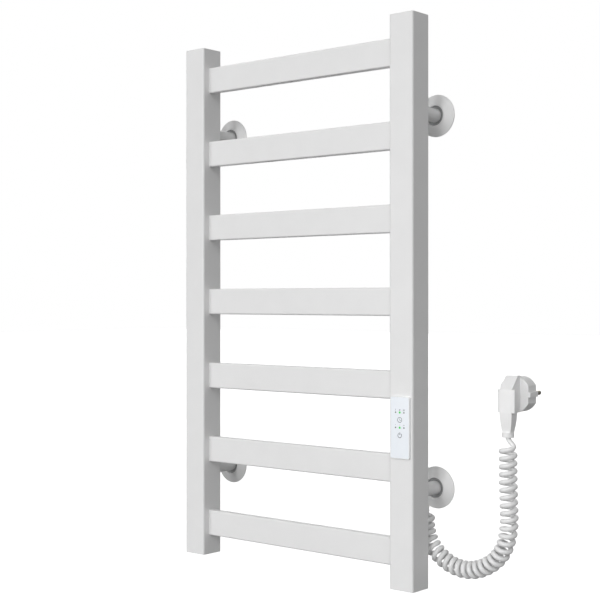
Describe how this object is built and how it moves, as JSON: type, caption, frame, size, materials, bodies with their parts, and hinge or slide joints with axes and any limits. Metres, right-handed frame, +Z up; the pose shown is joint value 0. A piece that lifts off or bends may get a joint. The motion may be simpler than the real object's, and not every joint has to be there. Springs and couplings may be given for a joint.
{
  "type": "towel warmer rack",
  "caption": "White electric ladder towel rail with square posts, flat rungs, a touch panel, round wall mounts and a curly cord with an angled plug.",
  "frame": {"origin": "centre of the four wall fixing holes, on the wall plane", "axes": "+X to the right as seen from the room, +Y into the wall, +Z up"},
  "size_m": [0.4432, 0.092, 0.6],
  "materials": {
    "powder_coat": "satin white powder coat",
    "grip_rubber": "matt black rubber",
    "zinc_plated_steel": "bright zinc plate",
    "dark_steel": "blackened steel",
    "cable_silicone": "red silicone rubber",
    "panel_plastic": "glossy white moulding",
    "panel_overlay": "glossy bluish white film",
    "led_green": "lit green light pipe",
    "led_grey": "unlit smoky light pipe",
    "circuit_board": "green solder mask",
    "black_plastic": "matt black moulding",
    "terminal_green": "green moulding",
    "wire_blue_brown": "brown and blue insulation",
    "wire_earth": "green and yellow insulation",
    "white_plastic": "fine matt white moulding",
    "cord_pvc": "semi gloss white PVC",
    "nickel_plated_brass": "nickel plate"
  },
  "bodies": {
    "wall_fixings": {"wall_bush_ul": "zinc_plated_steel", "wall_bush_ur": "zinc_plated_steel", "wall_bush_ll": "zinc_plated_steel", "wall_bush_lr": "zinc_plated_steel"},
    "cover_ul": {"cover_ul": "powder_coat", "cover_ring_ul": "grip_rubber"},
    "cover_ur": {"cover_ur": "powder_coat", "cover_ring_ur": "grip_rubber"},
    "cover_ll": {"cover_ll": "powder_coat", "cover_ring_ll": "grip_rubber"},
    "cover_lr": {"cover_lr": "powder_coat", "cover_ring_lr": "grip_rubber"},
    "rack": {"cable_end_seal": "cable_silicone", "cable_splice": "cable_silicone", "control_board": "circuit_board", "cord_gland": "white_plastic", "cord_tail_plug": "cord_pvc", "cord_tail_rack": "cord_pvc", "curly_cord": "cord_pvc", "earth_contacts": "nickel_plated_brass", "earth_lug": "zinc_plated_steel", "earth_screw": "zinc_plated_steel", "earth_wire": "wire_earth", "gland_boot": "white_plastic", "gland_nut": "white_plastic", "grub_screws": "dark_steel", "heating_cable": "cable_silicone", "insulating_shroud": "black_plastic", "internal_wires": "wire_blue_brown", "left_post": "powder_coat", "panel_frame": "panel_plastic", "panel_overlay": "panel_overlay", "plug_body": "white_plastic", "plug_boot": "white_plastic", "plug_pins": "nickel_plated_brass", "post_cap_bottom_left": "powder_coat", "post_cap_bottom_right": "powder_coat", "post_cap_top_left": "powder_coat", "post_cap_top_right": "powder_coat", "power_supply": "black_plastic", "relay": "black_plastic", "right_post": "powder_coat", "rung_1": "powder_coat", "rung_2": "powder_coat", "rung_3": "powder_coat", "rung_4": "powder_coat", "rung_5": "powder_coat", "rung_6": "powder_coat", "rung_7": "powder_coat", "status_leds_off": "led_grey", "status_leds_on": "led_green", "stem_bosses": "zinc_plated_steel", "stem_ll": "powder_coat", "stem_lr": "powder_coat", "stem_ul": "powder_coat", "stem_ur": "powder_coat", "temperature_sensor": "black_plastic", "terminal_blocks": "terminal_green", "thermal_fuse": "zinc_plated_steel"}
  },
  "joints": [
    {"name": "depth_adjust", "type": "slide", "parent": "wall_fixings", "child": "rack", "axis": [0, -1, 0], "range_m": [0, 0.008]},
    {"name": "cover_slide_ul", "type": "slide", "parent": "rack", "child": "cover_ul", "axis": [0, -1, 0], "range_m": [0, 0.026]},
    {"name": "cover_slide_ur", "type": "slide", "parent": "rack", "child": "cover_ur", "axis": [0, -1, 0], "range_m": [0, 0.026]},
    {"name": "cover_slide_ll", "type": "slide", "parent": "rack", "child": "cover_ll", "axis": [0, -1, 0], "range_m": [0, 0.026]},
    {"name": "cover_slide_lr", "type": "slide", "parent": "rack", "child": "cover_lr", "axis": [0, -1, 0], "range_m": [0, 0.008]}
  ]
}
